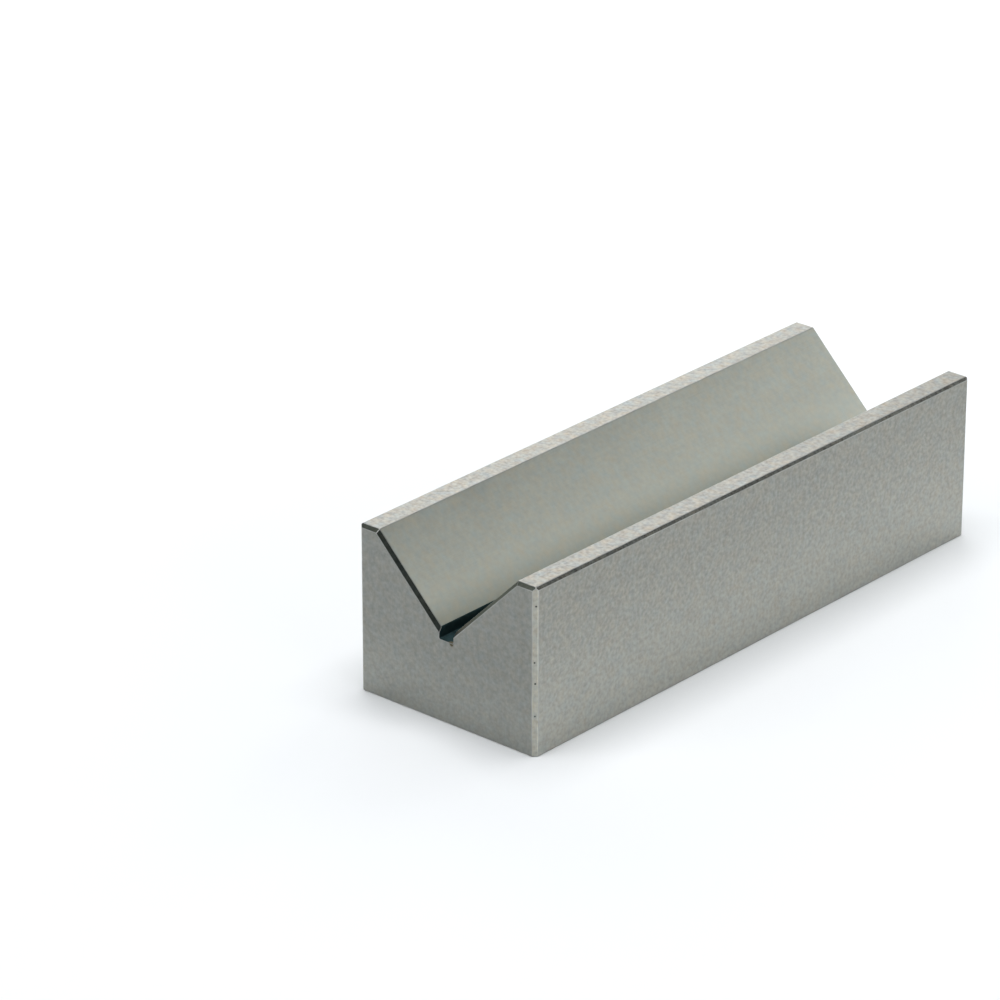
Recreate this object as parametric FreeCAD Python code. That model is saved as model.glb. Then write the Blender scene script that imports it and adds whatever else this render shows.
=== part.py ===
"""Long steel V block: one hardened and ground block with a full-length 90 degree V.

Frame: origin at the centre of the base, +X across the block, +Y along the V, +Z up.
All lengths are in millimetres.
"""
import FreeCAD, Part
import math
import os

from FreeCAD import Vector

# Driving dimensions
block_length = 150.0
block_width = 50.0
block_height = 39.3
land_width = 5.5         # flat top beside each flank of the V, measured to the side face
included_angle = 90.0    # between the two flanks, in degrees
relief_width = 4.0       # slot below the V, so that a square corner clears the root
relief_depth = 2.5       # from the foot of the flanks down to the slot's floor
relief_corner = 0.3      # radius where the slot's walls meet its floor
relief_chamfer = 0.2     # on the edges between the flanks and the slot's walls
corner_chamfer = 1.0     # on the four upright edges
shoulder_chamfer = 0.65  # on the outer long edge of each land
mouth_chamfer = 0.8      # on the end edges of the lands and flanks
base_chamfer = 0.2       # all round the base

# Worked out from the driving dimensions
half_length = block_length / 2.0
half_width = block_width / 2.0
half_slot = relief_width / 2.0
mouth_half_width = half_width - land_width
flank_slope = 1.0 / math.tan(math.radians(included_angle / 2.0))
root_height = block_height - mouth_half_width * flank_slope
foot_height = root_height + half_slot * flank_slope
floor_height = foot_height - relief_depth

position_tolerance = 1e-4


def end_profile():
    """Outline of the end of the block, as a closed wire in the plane of the -Y end."""
    def at(x, z):
        return Vector(x, -half_length, z)

    def line(start, end):
        return Part.LineSegment(start, end).toShape()

    def slot_corner(side):
        """Quarter round between a wall of the slot (side = -1 or 1) and its floor."""
        centre_x = side * (half_slot - relief_corner)
        centre_z = floor_height + relief_corner
        reach = relief_corner * math.sqrt(0.5)
        wall_end = at(side * half_slot, centre_z)
        middle = at(centre_x + side * reach, centre_z - reach)
        floor_end = at(centre_x, floor_height)
        return wall_end, middle, floor_end

    left_wall, left_middle, left_floor = slot_corner(-1)
    right_wall, right_middle, right_floor = slot_corner(1)
    edges = [
        line(at(-half_width, 0), at(half_width, 0)),
        line(at(half_width, 0), at(half_width, block_height)),
        line(at(half_width, block_height), at(mouth_half_width, block_height)),
        line(at(mouth_half_width, block_height), at(half_slot, foot_height)),
        line(at(half_slot, foot_height), right_wall),
        Part.Arc(right_wall, right_middle, right_floor).toShape(),
        line(right_floor, left_floor),
        Part.Arc(left_floor, left_middle, left_wall).toShape(),
        line(left_wall, at(-half_slot, foot_height)),
        line(at(-half_slot, foot_height), at(-mouth_half_width, block_height)),
        line(at(-mouth_half_width, block_height), at(-half_width, block_height)),
        line(at(-half_width, block_height), at(-half_width, 0)),
    ]
    return Part.Wire(edges)


def near(value, target):
    """Whether a measured coordinate is at its target."""
    return abs(value - target) < position_tolerance


def edges_where(shape, accepts):
    """Edges of the shape whose bounding box passes the test."""
    return [edge for edge in shape.Edges if accepts(edge.BoundBox)]


def is_upright_corner(box):
    """One of the four vertical edges between the sides and the ends."""
    on_side = near(box.XLength, 0) and near(abs(box.XMin), half_width)
    on_end = near(box.YLength, 0) and near(abs(box.YMin), half_length)
    return on_side and on_end


def is_shoulder(box):
    """Long edge between a land and the side of the block."""
    on_side = near(box.XLength, 0) and near(abs(box.XMin), half_width)
    return on_side and near(box.ZMin, block_height) and near(box.ZMax, block_height)


def is_mouth(box):
    """End edge of a land or of a flank, on either end of the block."""
    on_end = near(box.YLength, 0) and near(abs(box.YMin), half_length)
    above_foot = box.ZMin > foot_height - position_tolerance
    crosses = box.XLength > position_tolerance
    return on_end and above_foot and crosses


def is_foot(box):
    """Long edge between the foot of a flank and a wall of the slot."""
    at_wall = near(box.XLength, 0) and near(abs(box.XMin), half_slot)
    return at_wall and near(box.ZMin, foot_height) and near(box.ZMax, foot_height)


def is_base(box):
    """Edge of the face that the block stands on."""
    return near(box.ZMin, 0) and near(box.ZMax, 0)


def v_block():
    """The block: the end profile run along the V, then its edges broken."""
    body = Part.Face(end_profile()).extrude(Vector(0, block_length, 0))
    body = body.makeChamfer(corner_chamfer, edges_where(body, is_upright_corner))
    body = body.makeChamfer(mouth_chamfer, edges_where(body, is_mouth))
    body = body.makeChamfer(relief_chamfer, edges_where(body, is_foot))
    body = body.makeChamfer(shoulder_chamfer, edges_where(body, is_shoulder))
    body = body.makeChamfer(base_chamfer, edges_where(body, is_base))
    return body


def write_step(name, shape):
    """Write one solid to parts/NAME.step."""
    solid = shape.Solids[0]
    solid.exportStep(os.path.join("parts", name + ".step"))
    print(name, "valid", solid.isValid(), "faces", len(solid.Faces), "volume", round(solid.Volume, 1))


os.makedirs("parts", exist_ok=True)
write_step("v_block", v_block())
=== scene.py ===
"""Looks of the long steel V block: its ground faces, dark broken edges, pitted corners and root slot.

The block is one piece of hardened tool steel. It is modelled here with finely rounded edges and
dressed zone by zone, then set on a pale floor in soft studio light.
All lengths are in metres; +X runs across the block, +Y along the V and +Z up.
"""
import logging
import math
from dataclasses import dataclass
from enum import Enum
from typing import Any, Callable, Iterable, Iterator, Protocol

import bmesh
import bpy
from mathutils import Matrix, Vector


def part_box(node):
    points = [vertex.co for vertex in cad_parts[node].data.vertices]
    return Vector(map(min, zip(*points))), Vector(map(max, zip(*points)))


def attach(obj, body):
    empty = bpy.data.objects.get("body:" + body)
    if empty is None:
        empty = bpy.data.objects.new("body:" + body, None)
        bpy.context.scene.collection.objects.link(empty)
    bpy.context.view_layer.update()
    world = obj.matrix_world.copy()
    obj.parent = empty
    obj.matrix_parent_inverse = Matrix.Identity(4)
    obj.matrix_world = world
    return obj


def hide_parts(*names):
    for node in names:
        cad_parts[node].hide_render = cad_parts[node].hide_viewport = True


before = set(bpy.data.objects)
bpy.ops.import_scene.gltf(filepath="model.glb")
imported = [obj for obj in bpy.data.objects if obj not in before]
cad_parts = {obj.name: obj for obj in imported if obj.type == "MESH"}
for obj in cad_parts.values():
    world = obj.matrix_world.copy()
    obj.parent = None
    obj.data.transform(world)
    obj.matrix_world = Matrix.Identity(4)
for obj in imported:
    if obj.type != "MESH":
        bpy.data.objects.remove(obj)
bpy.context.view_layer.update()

MM = 0.001
Triple = tuple[float, float, float]
Colour = Triple
Paint = Colour | bpy.types.NodeSocket

# Tones of the small marks on the steel, one of them a patch of painted light in the slot
PIT = (0.045, 0.05, 0.05)
RUST = (0.085, 0.072, 0.040)
# Pale brown: painted light where the slot floor is lit
LIT_SLOT_FLOOR = (0.24, 0.20, 0.13)
PALE_BROWN_PATCH = (0.14, 0.13, 0.105)

# Shares of a face's normal along one axis
FACING = 0.98    # above this, the face looks straight along the axis
LEANING = 0.5    # below this, the face looks mostly another way
EDGE_ON = 0.02   # below this, the face stands edge on to the axis

log = logging.getLogger("v_block")


class Zone(Enum):
    """The finishes that the block carries, in the order of its material slots."""

    END = 0
    SIDE = 1
    LAND = 2
    FLANK = 3
    BROKEN_EDGE = 4
    CORNER = 5
    SLOT = 6
    SHOULDER = 7
    RIM = 8


class Pick(Enum):
    """The kinds of element that edit mode selects, each with the name of its list in bmesh."""

    VERT = "verts"
    EDGE = "edges"
    FACE = "faces"


# ---------------------------------------------------------------------------------------------
# Shader maths
# ---------------------------------------------------------------------------------------------


class Value:
    """A number in a shader, which can be used in ordinary Python expressions."""

    def __init__(self, shader: "Shader", socket: bpy.types.NodeSocket) -> None:
        """Wrap one output socket of a shader."""
        self.shader = shader
        self.socket = socket

    def _math(self, operation: str, *operands: "Value | float") -> "Value":
        """Add a Math node to the shader."""
        links = dict(enumerate(operands))
        return self.shader.value("ShaderNodeMath", {"operation": operation}, links)

    def __add__(self, other: "Value | float") -> "Value":
        """Sum."""
        return self._math("ADD", self, other)

    def __radd__(self, other: float) -> "Value":
        """Sum with a plain number on the left."""
        return self._math("ADD", other, self)

    def __sub__(self, other: "Value | float") -> "Value":
        """Difference."""
        return self._math("SUBTRACT", self, other)

    def __rsub__(self, other: float) -> "Value":
        """Difference with a plain number on the left."""
        return self._math("SUBTRACT", other, self)

    def __mul__(self, other: "Value | float") -> "Value":
        """Product."""
        return self._math("MULTIPLY", self, other)

    def __rmul__(self, other: float) -> "Value":
        """Product with a plain number on the left."""
        return self._math("MULTIPLY", other, self)

    def __abs__(self) -> "Value":
        """Size without its sign."""
        return self._math("ABSOLUTE", self)

    def ramp(self, low: float, high: float) -> "Value":
        """Rise smoothly from 0 at low to 1 at high, or fall where low is above high.

        Args:
            low: The value that gives 0.
            high: The value that gives 1.

        Returns:
            A value between 0 and 1.
        """
        if low > high:
            return 1.0 - self.ramp(high, low)
        settings = {"interpolation_type": "SMOOTHSTEP"}
        links = {"Value": self, "From Min": low, "From Max": high}
        return self.shader.value("ShaderNodeMapRange", settings, links, output="Result")


def colour_socket(sockets: Iterable[bpy.types.NodeSocket], name: str) -> bpy.types.NodeSocket:
    """The colour socket among sockets of several kinds that share one name."""
    return next(socket for socket in sockets if socket.name == name and socket.type == "RGBA")


class Shader:
    """One material's nodes, ending in a Principled BSDF."""

    def __init__(self, name: str) -> None:
        """Make a node material with nothing but its surface and its coordinates.

        Args:
            name: The material's name.
        """
        self.material = bpy.data.materials.new(name)
        self.material.use_nodes = True
        self.tree = self.material.node_tree
        self.tree.nodes.clear()
        output = self.tree.nodes.new("ShaderNodeOutputMaterial")
        self.surface = self.tree.nodes.new("ShaderNodeBsdfPrincipled")
        self.tree.links.new(self.surface.outputs["BSDF"], output.inputs["Surface"])
        self.coordinates = self.tree.nodes.new("ShaderNodeTexCoord").outputs["Object"]

    def _feed(self, socket: bpy.types.NodeSocket, source: Any) -> None:
        """Link a socket to a source, or set it to a plain value.

        Args:
            socket: The input to feed.
            source: A value or an output socket to link, or a plain number, vector or colour.
        """
        if isinstance(source, Value):
            self.tree.links.new(source.socket, socket)
        elif isinstance(source, bpy.types.NodeSocket):
            self.tree.links.new(source, socket)
        elif isinstance(source, tuple) and socket.type == "RGBA":
            socket.default_value = (*source, 1.0)
        else:
            socket.default_value = source

    def node(self, kind: str, settings: dict[str, Any], links: dict[Any, Any]) -> bpy.types.Node:
        """Add one node.

        Args:
            kind: The node's type.
            settings: The node's own properties, set before anything is linked.
            links: Plain values, values or sockets for its inputs, by name or number.

        Returns:
            The new node.
        """
        made = self.tree.nodes.new(kind)
        for key, setting in settings.items():
            setattr(made, key, setting)
        for key, source in links.items():
            self._feed(made.inputs[key], source)
        return made

    def value(self, kind: str, settings: dict[str, Any], links: dict[Any, Any],
              output: str | int = 0) -> Value:
        """Add one node and wrap one of its outputs as a value."""
        return Value(self, self.node(kind, settings, links).outputs[output])

    def position(self) -> tuple[Value, Value, Value]:
        """Where a point of the surface lies on the block, as x, y and z."""
        split = self.node("ShaderNodeSeparateXYZ", {}, {"Vector": self.coordinates})
        return tuple(Value(self, split.outputs[axis]) for axis in range(3))

    def noise(self, size: Vector | float, detail: float = 2.0, roughness: float = 0.5,
              offset: Triple = (0.0, 0.0, 0.0)) -> Value:
        """Smooth noise about zero, from roughly -0.5 to 0.5.

        Args:
            size: The size of one feature in metres, along each axis or the same on all three.
            detail: How many finer octaves are added.
            roughness: How strong each finer octave is.
            offset: Shift of the pattern along each axis, so that two layers differ.

        Returns:
            The noise as a value.
        """
        if isinstance(size, float):
            size = Vector((size, size, size))
        scale = (1.0 / size.x, 1.0 / size.y, 1.0 / size.z)
        mapping = self.node("ShaderNodeMapping", {}, {
            "Vector": self.coordinates, "Scale": scale, "Location": offset})
        noise = self.value("ShaderNodeTexNoise", {"noise_dimensions": "3D"}, {
            "Vector": mapping.outputs["Vector"], "Scale": 1.0,
            "Detail": detail, "Roughness": roughness}, output="Fac")
        return noise - 0.5

    def spot(self, place: Vector, radius: float, core: float = 0.4) -> Value:
        """One soft-edged round mark: 1 inside it and 0 elsewhere.

        Args:
            place: The mark's centre.
            radius: How far it reaches.
            core: The share of the radius within which it is full.

        Returns:
            The mask as a value.
        """
        distance = self.value("ShaderNodeVectorMath", {"operation": "DISTANCE"}, {
            0: self.coordinates, 1: tuple(place)}, output="Value")
        return distance.ramp(radius, core * radius)

    def blend(self, share: Value | float, first: Paint, second: Paint) -> bpy.types.NodeSocket:
        """Mix two colours.

        Args:
            share: 0 for the first colour, 1 for the second.
            first: One colour.
            second: The other colour.

        Returns:
            The mixed colour.
        """
        mix = self.node("ShaderNodeMix", {"data_type": "RGBA"}, {"Factor": share})
        self._feed(colour_socket(mix.inputs, "A"), first)
        self._feed(colour_socket(mix.inputs, "B"), second)
        return colour_socket(mix.outputs, "Result")

    def scaled(self, colour: Paint, factor: Value) -> bpy.types.NodeSocket:
        """Brighten or darken a colour by a value around 1."""
        scale = self.node("ShaderNodeVectorMath", {"operation": "SCALE"}, {0: colour, "Scale": factor})
        return scale.outputs["Vector"]

    def bump(self, height: Value, depth: float) -> bpy.types.NodeSocket:
        """Turn a height between about 0 and 1 into a surface normal; a height of 1 is depth metres."""
        bump = self.node("ShaderNodeBump", {}, {"Height": height, "Distance": depth, "Strength": 1.0})
        return bump.outputs["Normal"]

    def finish(self, colour: Paint, roughness: Value | float,
               normal: bpy.types.NodeSocket | None = None, metallic: float = 1.0) -> None:
        """Feed what has been worked out to the surface.

        Args:
            colour: The base colour.
            roughness: The roughness.
            normal: The relief's normal, or nothing where the surface is smooth.
            metallic: 1 for bare metal, 0 for anything else.
        """
        self._feed(self.surface.inputs["Base Color"], colour)
        self._feed(self.surface.inputs["Roughness"], roughness)
        self._feed(self.surface.inputs["Metallic"], metallic)
        if normal is not None:
            self._feed(self.surface.inputs["Normal"], normal)


# ---------------------------------------------------------------------------------------------
# Finishes
# ---------------------------------------------------------------------------------------------


class Finish(Protocol):
    """Anything that can be made into a material."""

    def make(self) -> bpy.types.Material:
        """Build the material."""
        ...


@dataclass(frozen=True)
class Mark:
    """A small pit or other mark at one place on the block, a patch of painted light among them."""

    place: Vector
    radius: float
    tone: Colour

    def over(self, shader: Shader, colour: Paint, strength: float = 1.0) -> bpy.types.NodeSocket:
        """Lay the mark over a colour and hand back the two together."""
        return shader.blend(shader.spot(self.place, self.radius) * strength, colour, self.tone)


def tinted(shader: Shader, tone: Colour, share: float, size: float) -> bpy.types.NodeSocket:
    """Let a tone wander between a warmer and a cooler version of itself.

    Args:
        shader: The shader to add to.
        tone: The mean tone.
        share: How far red and blue go up or down.
        size: How large one patch is, in metres.

    Returns:
        The wandering tone.
    """
    red, green, blue = tone
    cool = (red * (1.0 - share), green, blue * (1.0 + share))
    warm = (red * (1.0 + share), green, blue * (1.0 - share))
    wander = shader.noise(size, offset=(8.0, 1.0, 6.0))
    return shader.blend(wander + 0.5, cool, warm)


@dataclass(frozen=True)
class GroundSteel:
    """A ground face: fine grain, faint grinding streaks, cloudy tone and patches of warm and cool.

    Between two given heights the face gets paler towards its foot, by a given amount in all: painted
    light that lifts the shade falling low on the face.
    """

    name: str
    tone: Colour
    streak_size: Triple
    roughness: float = 0.42
    grain: float = 0.62
    grain_size: float = 0.9 * MM
    streaks: float = 0.08
    clouds: float = 0.10
    cloud_size: float = 11.0 * MM
    tint: float = 0.08
    tint_size: float = 2.2 * MM
    foot_painted_light: float = 0.0
    painted_light_top: float = 20.0 * MM
    painted_light_foot: float = 0.0
    grain_roughness: float = 0.08
    cloud_roughness: float = 0.06
    relief_depth: float = 0.004 * MM
    overlays: tuple[Mark, ...] = ()

    def make(self) -> bpy.types.Material:
        """Build the material.

        Returns:
            The material, with its stains on top.
        """
        shader = Shader(self.name)
        grain = shader.noise(self.grain_size, detail=1.5, roughness=0.6)
        streaks = shader.noise(Vector(self.streak_size), offset=(3.0, 5.0, 7.0))
        clouds = shader.noise(self.cloud_size, offset=(11.0, 2.0, 4.0))
        tone = 1.0 + grain * self.grain + streaks * self.streaks + clouds * self.clouds
        # Painted light: the face is painted paler towards its foot, lifting the shade that falls
        # there.
        if self.foot_painted_light:
            height = shader.position()[2]
            tone = tone + height.ramp(self.painted_light_top, self.painted_light_foot) * self.foot_painted_light
        colour = shader.scaled(tinted(shader, self.tone, self.tint, self.tint_size), tone)
        for overlay_mark in self.overlays:
            colour = overlay_mark.over(shader, colour)
        roughness = self.roughness + grain * self.grain_roughness + clouds * self.cloud_roughness
        relief = shader.bump(streaks * 0.5 + grain * 0.5 + 0.5, self.relief_depth)
        shader.finish(colour, roughness, relief)
        return shader.material


@dataclass(frozen=True)
class DarkPaintedShade:
    """Steel painted dark in the broken edges and in the slot, blotchy in tone: painted shade for the
    dark surroundings that the broken edges mirror, and painted shadow in the slot.
    """

    name: str
    tone: Colour
    roughness: float
    blotches: float = 1.2
    blotch_size: float = 1.0 * MM
    blotch_roughness: float = 0.2
    drift_share: float = 0.5
    drift_size: float = 14.0 * MM
    tint: float = 0.12
    tint_size: float = 2.5 * MM
    relief_depth: float = 0.01 * MM
    overlay_strength: float = 0.8
    overlays: tuple[Mark, ...] = ()

    def make(self) -> bpy.types.Material:
        """Build the material.

        Returns:
            The material, with its marks laid over it at part strength.
        """
        shader = Shader(self.name)
        blotches = shader.noise(self.blotch_size, detail=2.5, roughness=0.6, offset=(1.0, 9.0, 5.0))
        drift = shader.noise(self.drift_size, detail=1.0, offset=(4.0, 2.0, 9.0))
        tone = 1.0 + blotches * self.blotches + drift * self.drift_share * self.blotches
        colour = shader.scaled(tinted(shader, self.tone, self.tint, self.tint_size), tone)
        for overlay_mark in self.overlays:
            colour = overlay_mark.over(shader, colour, self.overlay_strength)
        relief = shader.bump(blotches + 0.5, self.relief_depth)
        shader.finish(colour, self.roughness + blotches * self.blotch_roughness, relief)
        return shader.material


@dataclass(frozen=True)
class StonedCorner:
    """Upright corners dressed by hand: pale and pitted, with painted highlights in places along both
    their edges.

    The edge beside the long side gets a painted highlight in some patches. The edge beside the end
    gets a brighter, yellowish painted highlight in the other patches, below one given height and fully
    so below a lower one.
    """

    name: str
    tone: Colour
    half_length: float
    half_width: float
    chamfer: float
    roughness: float = 0.45
    grain: float = 0.7
    grain_size: float = 0.9 * MM
    grain_roughness: float = 0.1
    tint: float = 0.12
    tint_size: float = 2.0 * MM
    patch_size: Triple = (40.0 * MM, 40.0 * MM, 4.0 * MM)
    side_edge_highlight: float = 0.42
    end_edge_highlight: float = 0.8
    end_highlight_gain: Colour = (1.22, 1.22, 1.08)
    end_highlight_top: float = 26.0 * MM
    end_highlight_full: float = 10.0 * MM
    relief_depth: float = 0.006 * MM
    pits: tuple[Mark, ...] = ()

    def make(self) -> bpy.types.Material:
        """Build the material.

        Returns:
            The material, with its pits on top.
        """
        shader = Shader(self.name)
        x, y, z = shader.position()
        grain = shader.noise(self.grain_size)
        # Across a corner, from -1 at the edge beside the end to 1 at the edge beside the side
        middle = self.half_width - self.half_length
        across = (abs(x) - abs(y) - middle) * (1.0 / self.chamfer)
        highlight_patch = shader.noise(Vector(self.patch_size)).ramp(-0.16, 0.10)
        low_down = z.ramp(self.end_highlight_top, self.end_highlight_full)
        # Painted highlights: lighter lines along the two edges of the corner, in patches.
        side_highlight_mask = across.ramp(0.45, 0.80) * highlight_patch
        end_highlight_mask = across.ramp(-0.45, -0.85) * (1.0 - highlight_patch) * low_down
        tone = 1.0 + grain * self.grain + side_highlight_mask * self.side_edge_highlight
        colour = shader.scaled(tinted(shader, self.tone, self.tint, self.tint_size), tone)
        highlight_tone = tuple(channel * gain for channel, gain in zip(self.tone, self.end_highlight_gain))
        colour = shader.blend(end_highlight_mask * self.end_edge_highlight, colour, highlight_tone)
        for pit in self.pits:
            colour = pit.over(shader, colour)
        relief = shader.bump(grain + 0.5, self.relief_depth)
        shader.finish(colour, self.roughness + grain * self.grain_roughness, relief)
        return shader.material


@dataclass(frozen=True)
class RimHighlight:
    """The fine round along every edge, painted bright in patches: a painted highlight."""

    name: str
    tone: Colour
    roughness: float = 0.34
    rim_patches: float = 1.1
    rim_patch_size: float = 5.0 * MM
    rim_patch_roughness: float = 0.15

    def make(self) -> bpy.types.Material:
        """Build the material.

        Returns:
            The material.
        """
        shader = Shader(self.name)
        rim_patches = shader.noise(self.rim_patch_size, detail=3.0, offset=(6.0, 6.0, 2.0))
        # Painted highlight: the rounds are painted brighter than most faces beside them, in patches.
        colour = shader.scaled(self.tone, 1.0 + rim_patches * self.rim_patches)
        shader.finish(colour, self.roughness + rim_patches * self.rim_patch_roughness)
        return shader.material


@dataclass(frozen=True)
class PaleFloor:
    """The studio floor: plain, matt and nearly white."""

    name: str = "pale_floor"
    tone: Colour = (0.87, 0.885, 0.90)
    roughness: float = 0.9

    def make(self) -> bpy.types.Material:
        """Build the material."""
        shader = Shader(self.name)
        shader.finish(self.tone, self.roughness, metallic=0.0)
        return shader.material


# ---------------------------------------------------------------------------------------------
# Modelling helpers
# ---------------------------------------------------------------------------------------------


def deselect_all() -> None:
    """Leave edit mode with nothing selected."""
    if bpy.context.object is not None and bpy.context.object.mode != "OBJECT":
        bpy.ops.object.mode_set(mode="OBJECT")
    bpy.ops.object.select_all(action="DESELECT")


@dataclass
class Workpiece:
    """A mesh on the bench, shaped with edit-mode tools; what they act on is picked by place."""

    body: bpy.types.Object
    tolerance: float = 0.002 * MM
    flat_angle: float = math.radians(0.5)

    @classmethod
    def from_block(cls, name: str, low: Vector, high: Vector) -> "Workpiece":
        """Add a rectangular blank and start editing it.

        Args:
            name: The name of the piece and of its mesh.
            low: The blank's lowest corner.
            high: The blank's highest corner.

        Returns:
            The blank, in edit mode.
        """
        deselect_all()
        centre, size = (low + high) / 2, high - low
        bpy.ops.mesh.primitive_cube_add(size=1.0, location=centre)
        body = bpy.context.object
        body.name = name
        body.data.name = name
        body.scale = size
        bpy.ops.object.transform_apply(location=True, rotation=True, scale=True)
        bpy.ops.object.mode_set(mode="EDIT")
        bpy.ops.mesh.select_mode(type="VERT")
        return cls(body)

    def near(self, value: float, target: float) -> bool:
        """Whether a coordinate is at its target."""
        return abs(value - target) < self.tolerance

    def select(self, kind: Pick, accepts: Callable[[Any], bool]) -> None:
        """Select exactly the vertices, edges or faces that pass a test.

        Args:
            kind: Which kind of element.
            accepts: The test on one element.
        """
        bpy.ops.mesh.select_mode(type=kind.name)
        bpy.ops.mesh.select_all(action="DESELECT")
        mesh = bmesh.from_edit_mesh(self.body.data)
        for element in getattr(mesh, kind.value):
            if accepts(element):
                element.select_set(True)
        mesh.select_flush_mode()
        bmesh.update_edit_mesh(self.body.data)

    def score(self, point: Vector, normal: Vector) -> None:
        """Cut an edge loop where a plane crosses the mesh, removing nothing."""
        bpy.ops.mesh.select_all(action="SELECT")
        bpy.ops.mesh.bisect(plane_co=point, plane_no=normal)

    def slice_off(self, point: Vector, normal: Vector) -> None:
        """Cut away what lies beyond a plane and close the cut with a flat face."""
        bpy.ops.mesh.select_all(action="SELECT")
        bpy.ops.mesh.bisect(plane_co=point, plane_no=normal, use_fill=True, clear_outer=True)

    def fill(self, accepts: Callable[[Any], bool]) -> None:
        """Close a gap with one face between the vertices that pass a test."""
        self.select(Pick.VERT, accepts)
        bpy.ops.mesh.edge_face_add()

    def merge_flat(self) -> None:
        """Join faces that lie in one plane."""
        bpy.ops.mesh.select_all(action="SELECT")
        bpy.ops.mesh.dissolve_limited(angle_limit=self.flat_angle)

    def finish(self) -> None:
        """Point the faces outwards and leave edit mode."""
        bpy.ops.mesh.select_all(action="SELECT")
        bpy.ops.mesh.normals_make_consistent(inside=False)
        bpy.ops.object.mode_set(mode="OBJECT")


def edge_ends(edge: bmesh.types.BMEdge) -> tuple[Vector, Vector]:
    """Where an edge's two ends lie."""
    return edge.verts[0].co, edge.verts[1].co


# ---------------------------------------------------------------------------------------------
# The block
# ---------------------------------------------------------------------------------------------


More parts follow.
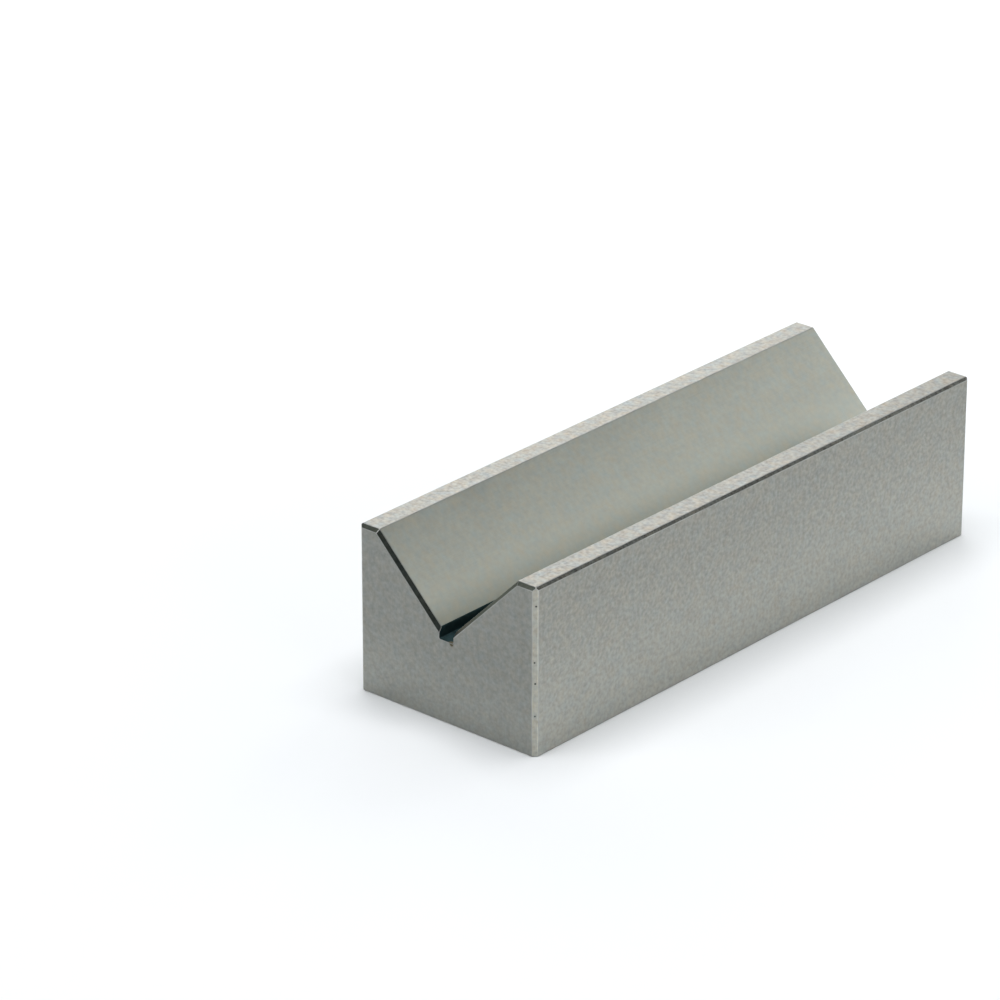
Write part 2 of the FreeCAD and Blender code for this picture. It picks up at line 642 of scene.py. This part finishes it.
@dataclass
class VBlock:
    """The block itself, one piece of steel, filling the box between low and high."""

    low: Vector
    high: Vector
    land_width: float = 5.5 * MM
    included_angle: float = math.radians(90.0)
    relief_width: float = 4.0 * MM
    relief_depth: float = 2.5 * MM
    relief_corner: float = 0.3 * MM
    relief_chamfer: float = 0.2 * MM
    corner_chamfer: float = 1.0 * MM
    shoulder_chamfer: float = 0.65 * MM
    mouth_chamfer: float = 0.8 * MM
    base_chamfer: float = 0.2 * MM
    edge_radius: float = 0.1 * MM
    edge_segments: int = 3
    slot_segments: int = 4
    sharp_angle: float = math.radians(30.0)

    def __post_init__(self) -> None:
        """Work out the heights and half widths of the V."""
        self.half_width = (self.high.x - self.low.x) / 2
        self.half_length = (self.high.y - self.low.y) / 2
        self.top = self.high.z
        self.half_slot = self.relief_width / 2
        self.half_mouth = self.half_width - self.land_width
        self.slope = 1.0 / math.tan(self.included_angle / 2)
        self.foot = self.top - (self.half_mouth - self.half_slot) * self.slope
        self.floor = self.foot - self.relief_depth

    def build(self, finishes: dict[Zone, Finish]) -> bpy.types.Object:
        """Model the block and dress it.

        Args:
            finishes: The finish of each zone.

        Returns:
            The finished piece.
        """
        work = Workpiece.from_block("v_block_steel", self.low, self.high)
        self._open_vee(work)
        self._sink_slot(work)
        work.merge_flat()
        self._round_slot(work)
        self._break_mouth(work)
        self._break_foot(work)
        self._break_outer_edges(work)
        work.finish()
        self._assign_zones(work.body, finishes)
        self._soften_edges(work.body)
        return work.body

    def _open_vee(self, work: Workpiece) -> None:
        """Score the top along the V and push its middle down, so that the flanks slope."""
        for x in (self.half_mouth, self.half_slot):
            for side in (-1, 1):
                work.score(Vector((side * x, 0, 0)), Vector((1, 0, 0)))
        work.select(Pick.VERT, lambda v: work.near(abs(v.co.x), self.half_slot)
                    and work.near(v.co.z, self.top))
        bpy.ops.transform.translate(value=(0, 0, self.foot - self.top))

    def _sink_slot(self, work: Workpiece) -> None:
        """Cut the relief slot below the foot of the flanks."""
        work.score(Vector((0, 0, self.floor)), Vector((0, 0, 1)))

        def above_floor(face: bmesh.types.BMFace) -> bool:
            """Whether a face closes the slot's mouth or one of its two ends."""
            centre = face.calc_center_median()
            between = all(abs(v.co.x) < self.half_slot + work.tolerance for v in face.verts)
            return between and centre.z > self.floor + work.tolerance

        work.select(Pick.FACE, above_floor)
        bpy.ops.mesh.delete(type="ONLY_FACE")
        for side in (-1, 1):
            work.fill(lambda v: work.near(v.co.x, side * self.half_slot)
                      and v.co.z > self.floor - work.tolerance)
        work.fill(lambda v: work.near(abs(v.co.x), self.half_slot) and work.near(v.co.z, self.floor))
        work.select(Pick.EDGE, lambda e: e.is_wire)
        bpy.ops.mesh.delete(type="EDGE")

    def _is_slot_line(self, work: Workpiece, edge: bmesh.types.BMEdge, height: float) -> bool:
        """Whether an edge runs along a wall of the slot at a height."""
        return all(work.near(abs(p.x), self.half_slot) and work.near(p.z, height)
                   for p in edge_ends(edge)) and edge.calc_length() > self.half_length

    def _round_slot(self, work: Workpiece) -> None:
        """Round the two inner corners of the slot."""
        work.select(Pick.EDGE, lambda e: self._is_slot_line(work, e, self.floor))
        bpy.ops.mesh.bevel(offset=self.relief_corner, segments=self.slot_segments, profile=0.5,
                           affect="EDGES")

    def _break_mouth(self, work: Workpiece) -> None:
        """Break the end edges of the lands and flanks."""
        def is_mouth(edge: bmesh.types.BMEdge) -> bool:
            """Whether an edge of an end face borders a land or a flank."""
            ends = edge_ends(edge)
            on_end = all(work.near(abs(p.y), self.half_length) for p in ends)
            above_foot = all(p.z > self.foot - work.tolerance for p in ends)
            return on_end and above_foot and abs(ends[0].x - ends[1].x) > work.tolerance

        work.select(Pick.EDGE, is_mouth)
        bpy.ops.mesh.bevel(offset=self.mouth_chamfer, offset_type="OFFSET", segments=1, affect="EDGES")

    def _break_foot(self, work: Workpiece) -> None:
        """Break the edges between the flanks and the walls of the slot."""
        work.select(Pick.EDGE, lambda e: self._is_slot_line(work, e, self.foot))
        bpy.ops.mesh.bevel(offset=self.relief_chamfer, segments=1, affect="EDGES")

    def _outer_cuts(self) -> Iterator[tuple[Vector, Vector]]:
        """Planes that break the upright, shoulder and base edges, as a point and a normal."""
        half_width, half_length = self.half_width, self.half_length
        corners = [(x, y) for x in (-1, 1) for y in (-1, 1)]
        for x, y in corners:
            cut = Vector((x * (half_width - self.corner_chamfer), y * half_length, 0))
            yield cut, Vector((x, y, 0))
        for x in (-1, 1):
            yield Vector((x * (half_width - self.shoulder_chamfer), 0, self.top)), Vector((x, 0, 1))
            yield Vector((x * (half_width - self.base_chamfer), 0, 0)), Vector((x, 0, -1))
        for y in (-1, 1):
            yield Vector((0, y * (half_length - self.base_chamfer), 0)), Vector((0, y, -1))
        reach = (half_width + half_length - self.corner_chamfer) / math.sqrt(2) - self.base_chamfer
        for x, y in corners:
            outward = Vector((x, y, 0)).normalized()
            yield outward * reach, outward + Vector((0, 0, -1))

    def _break_outer_edges(self, work: Workpiece) -> None:
        """Slice the thin strip off every outer edge of the block."""
        for point, normal in self._outer_cuts():
            work.slice_off(point, normal.normalized())

    def _zone(self, centre: Vector, normal: Vector) -> Zone:
        """Which finish a face has.

        Args:
            centre: Where the face lies.
            normal: Which way it faces.

        Returns:
            The face's zone.
        """
        along, across, up = abs(normal.y), abs(normal.x), normal.z
        in_slot = centre.z < self.foot and abs(centre.x) < self.half_slot + self.relief_chamfer
        if in_slot and up > -LEANING and along < LEANING:
            return Zone.SLOT
        if along > FACING:
            return Zone.END
        if across > FACING or up < -EDGE_ON:
            return Zone.SIDE
        if up > FACING:
            return Zone.LAND
        if abs(up) < EDGE_ON:
            return Zone.CORNER
        if along < EDGE_ON:
            return Zone.FLANK if abs(centre.x) < self.half_mouth else Zone.SHOULDER
        return Zone.BROKEN_EDGE

    def _assign_zones(self, body: bpy.types.Object, finishes: dict[Zone, Finish]) -> None:
        """Give the piece one material for each finish and every face the one it carries."""
        for zone in Zone:
            body.data.materials.append(finishes[zone].make())
        for face in body.data.polygons:
            face.material_index = self._zone(face.center, face.normal).value

    def _soften_edges(self, body: bpy.types.Object) -> None:
        """Round every edge by a hair and shade the rounds smoothly between flat faces.

        The rounds carry a painted highlight, apart from those at the base, which look like the sides.

        Args:
            body: The piece, whose faces have their zones already.
        """
        deselect_all()
        body.select_set(True)
        bpy.context.view_layer.objects.active = body
        bpy.ops.object.shade_smooth()
        bevel = body.modifiers.new("edge_round", "BEVEL")
        bevel.width = self.edge_radius
        bevel.segments = self.edge_segments
        bevel.limit_method = "ANGLE"
        bevel.angle_limit = self.sharp_angle
        bevel.harden_normals = True
        bevel.material = Zone.RIM.value
        bpy.ops.object.modifier_apply(modifier=bevel.name)
        base_rim_top = self.low.z + 2 * self.base_chamfer
        for face in body.data.polygons:
            if face.material_index == Zone.RIM.value and face.center.z < base_rim_top:
                face.material_index = Zone.SIDE.value


def corner_pits(block: VBlock) -> tuple[Mark, ...]:
    """The four dark pits on the near upright corner, from the top down.

    Args:
        block: The block they are on.

    Returns:
        The pits.
    """
    x = block.high.x - block.corner_chamfer / 2
    y = block.low.y + block.corner_chamfer / 2
    shifts_heights_radii = ((0.10 * MM, 35.0 * MM, 0.30 * MM),
                            (-0.12 * MM, 22.0 * MM, 0.26 * MM),
                            (0.0, 17.1 * MM, 0.30 * MM),
                            (-0.04 * MM, 9.5 * MM, 0.24 * MM))
    return tuple(Mark(Vector((x + shift, y + shift, height)), radius, PIT)
                 for shift, height, radius in shifts_heights_radii)


def slot_marks(block: VBlock) -> tuple[Mark, Mark, Mark]:
    """The marks at the slot's near end, by its right wall.

    Args:
        block: The block they are on.

    Returns:
        Rust on the end face, a pale brown patch of painted light where the slot floor is lit, and a
        paler brown patch on the broken edge above.
    """
    end, wall = block.low.y, block.low.x + block.half_width + block.half_slot
    end_rust = Mark(Vector((wall - 0.5 * MM, end, block.floor - 0.2 * MM)), 0.7 * MM, RUST)
    # Painted light: a pale brown patch where the slot floor by its right wall is lit.
    lit_slot_floor = Mark(Vector((wall - 0.6 * MM, end, block.floor)), 1.3 * MM, LIT_SLOT_FLOOR)
    # A paler brown patch on the broken edge above the slot.
    edge_brown_patch = Mark(Vector((wall + 2.0 * MM, end, block.foot + 1.0 * MM)), 6.0 * MM, PALE_BROWN_PATCH)
    return end_rust, lit_slot_floor, edge_brown_patch


def steel_finishes(block: VBlock) -> dict[Zone, Finish]:
    """The block's finishes, zone by zone.

    Args:
        block: The block, whose edges and slot the small marks are placed by.

    Returns:
        One finish for each zone.
    """
    # Size of a grinding streak across its run, and along it
    fine, long = 0.25 * MM, 30.0 * MM
    end_rust, lit_slot_floor, edge_brown_patch = slot_marks(block)
    return {
        # The end, side, land and flank are one ground steel. Their different tones are painted light
        # and shade, each a lighter or darker copy for how the light falls on that face, and their
        # paler feet are painted light too.
        Zone.END: GroundSteel(
            "ground_end", tone=(0.257, 0.262, 0.241), streak_size=(fine, long, long),
            foot_painted_light=0.22, overlays=(end_rust,)),
        Zone.SIDE: GroundSteel(
            "ground_side", tone=(0.296, 0.297, 0.269), streak_size=(long, long, fine),
            grain=0.8, foot_painted_light=0.32, painted_light_top=38.0 * MM),
        Zone.LAND: GroundSteel(
            "ground_land", tone=(0.350, 0.344, 0.312), streak_size=(fine, long, long),
            grain=1.1, tint=0.20),
        Zone.FLANK: GroundSteel(
            "ground_flank", tone=(0.330, 0.339, 0.299), streak_size=(fine, long, fine),
            grain=0.24, grain_size=1.3 * MM, clouds=0.16, tint=0.13,
            foot_painted_light=0.38, painted_light_top=31.0 * MM, painted_light_foot=20.0 * MM),
        # Broken edges and shoulders: the same steel painted dark, a painted shade for the dark
        # surroundings they mirror, with blotchy mottling.
        Zone.BROKEN_EDGE: DarkPaintedShade(
            "broken_edge", tone=(0.100, 0.112, 0.096), roughness=0.35, blotches=0.9,
            overlays=(edge_brown_patch,)),
        Zone.CORNER: StonedCorner(
            "stoned_corner", tone=(0.405, 0.400, 0.352), half_length=block.half_length,
            half_width=block.half_width, chamfer=block.corner_chamfer, pits=corner_pits(block)),
        # Slot: painted near black, a painted shadow in the recess.
        Zone.SLOT: DarkPaintedShade(
            "slot_skin", tone=(0.034, 0.066, 0.070), roughness=0.6, overlays=(lit_slot_floor,)),
        Zone.SHOULDER: DarkPaintedShade(
            "shoulder_skin", tone=(0.096, 0.098, 0.087), roughness=0.4, blotches=2.3,
            blotch_size=0.8 * MM),
        Zone.RIM: RimHighlight("burnished_rim", tone=(0.36, 0.365, 0.35)),
    }


# ---------------------------------------------------------------------------------------------
# Studio
# ---------------------------------------------------------------------------------------------


@dataclass(frozen=True)
class Softbox:
    """A flat, even, white light that faces a point on the block."""

    name: str
    place: Vector
    size: tuple[float, float]
    radiance: float

    def make(self, target: Vector) -> None:
        """Hang the light, out of the camera's sight.

        Args:
            target: The point that it is turned towards.
        """
        data = bpy.data.lights.new(self.name, "AREA")
        data.shape = "RECTANGLE"
        data.size, data.size_y = self.size
        data.energy = self.radiance * math.pi * self.size[0] * self.size[1]
        lamp = bpy.data.objects.new(self.name, data)
        bpy.context.scene.collection.objects.link(lamp)
        lamp.location = self.place
        lamp.rotation_euler = (target - self.place).to_track_quat("-Z", "Y").to_euler()
        lamp.visible_camera = False


@dataclass
class Studio:
    """Floor, soft light and camera."""

    target: Vector
    floor_size: float = 30.0
    surround: float = 0.06
    surround_tint: Colour = (0.6, 0.85, 1.0)
    softboxes: tuple[Softbox, ...] = (
        Softbox("overhead", Vector((0.0, 0.0, 1.6)), (1.2, 1.2), 4.75),
        Softbox("key", Vector((-0.70, 0.55, 0.38)), (0.7, 0.45), 2.5),
        Softbox("back", Vector((0.0, 1.6, 0.6)), (1.2, 0.7), 3.2),
        Softbox("back_right", Vector((0.85, 0.97, 0.62)), (1.0, 0.5), 1.5),
        Softbox("right", Vector((1.3, 0.0, 0.4)), (1.2, 0.6), 2.3),
        Softbox("front", Vector((-0.5, -1.3, 1.0)), (1.2, 0.8), 2.6),
    )
    azimuth: float = math.radians(41.25)
    elevation: float = math.radians(24.36)
    distance: float = 1.1916
    lens: float = 194.2
    sensor_width: float = 36.0
    aim_offset: Triple = (-0.03035, -0.02313, 0.00578)

    def build(self) -> None:
        """Set up the floor, the surround, the lights and the camera."""
        self._lay_floor()
        self._hang_surround()
        for softbox in self.softboxes:
            softbox.make(self.target)
        self._place_camera()

    def _lay_floor(self) -> None:
        """Lay one large plain floor at the block's base."""
        deselect_all()
        bpy.ops.mesh.primitive_plane_add(size=self.floor_size, location=(0, 0, 0))
        floor = bpy.context.object
        floor.name = "studio_floor"
        floor.data.materials.append(PaleFloor().make())

    def _hang_surround(self) -> None:
        """Surround the scene with a faint, even sky."""
        world = bpy.data.worlds.new("surround")
        world.use_nodes = True
        background = world.node_tree.nodes["Background"]
        background.inputs["Color"].default_value = (*self.surround_tint, 1.0)
        background.inputs["Strength"].default_value = self.surround
        bpy.context.scene.world = world

    def _place_camera(self) -> None:
        """Stand the camera off at its angle, looking a little beside the block's centre."""
        data = bpy.data.cameras.new("camera")
        data.lens = self.lens
        data.sensor_width = self.sensor_width
        camera = bpy.data.objects.new("camera", data)
        bpy.context.scene.collection.objects.link(camera)
        level = math.cos(self.elevation)
        back = Vector((math.sin(self.azimuth) * level, -math.cos(self.azimuth) * level,
                       math.sin(self.elevation)))
        camera.location = self.target + Vector(self.aim_offset) + back * self.distance
        camera.rotation_euler = (-back).to_track_quat("-Z", "Y").to_euler()
        bpy.context.scene.camera = camera


def main() -> None:
    """Build the block and its studio, and report each piece."""
    logging.basicConfig(level=logging.INFO, format="%(message)s")
    bpy.context.scene.view_settings.view_transform = "Standard"
    low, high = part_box("v_block")
    design = VBlock(low, high)
    block = design.build(steel_finishes(design))
    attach(block, "root")
    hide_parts("v_block")
    log.info("%s: %d faces", block.name, len(block.data.polygons))
    Studio(target=(low + high) / 2).build()
    log.info("studio: floor, %d softboxes and camera", len(Studio.softboxes))


if __name__ == "__main__":
    main()
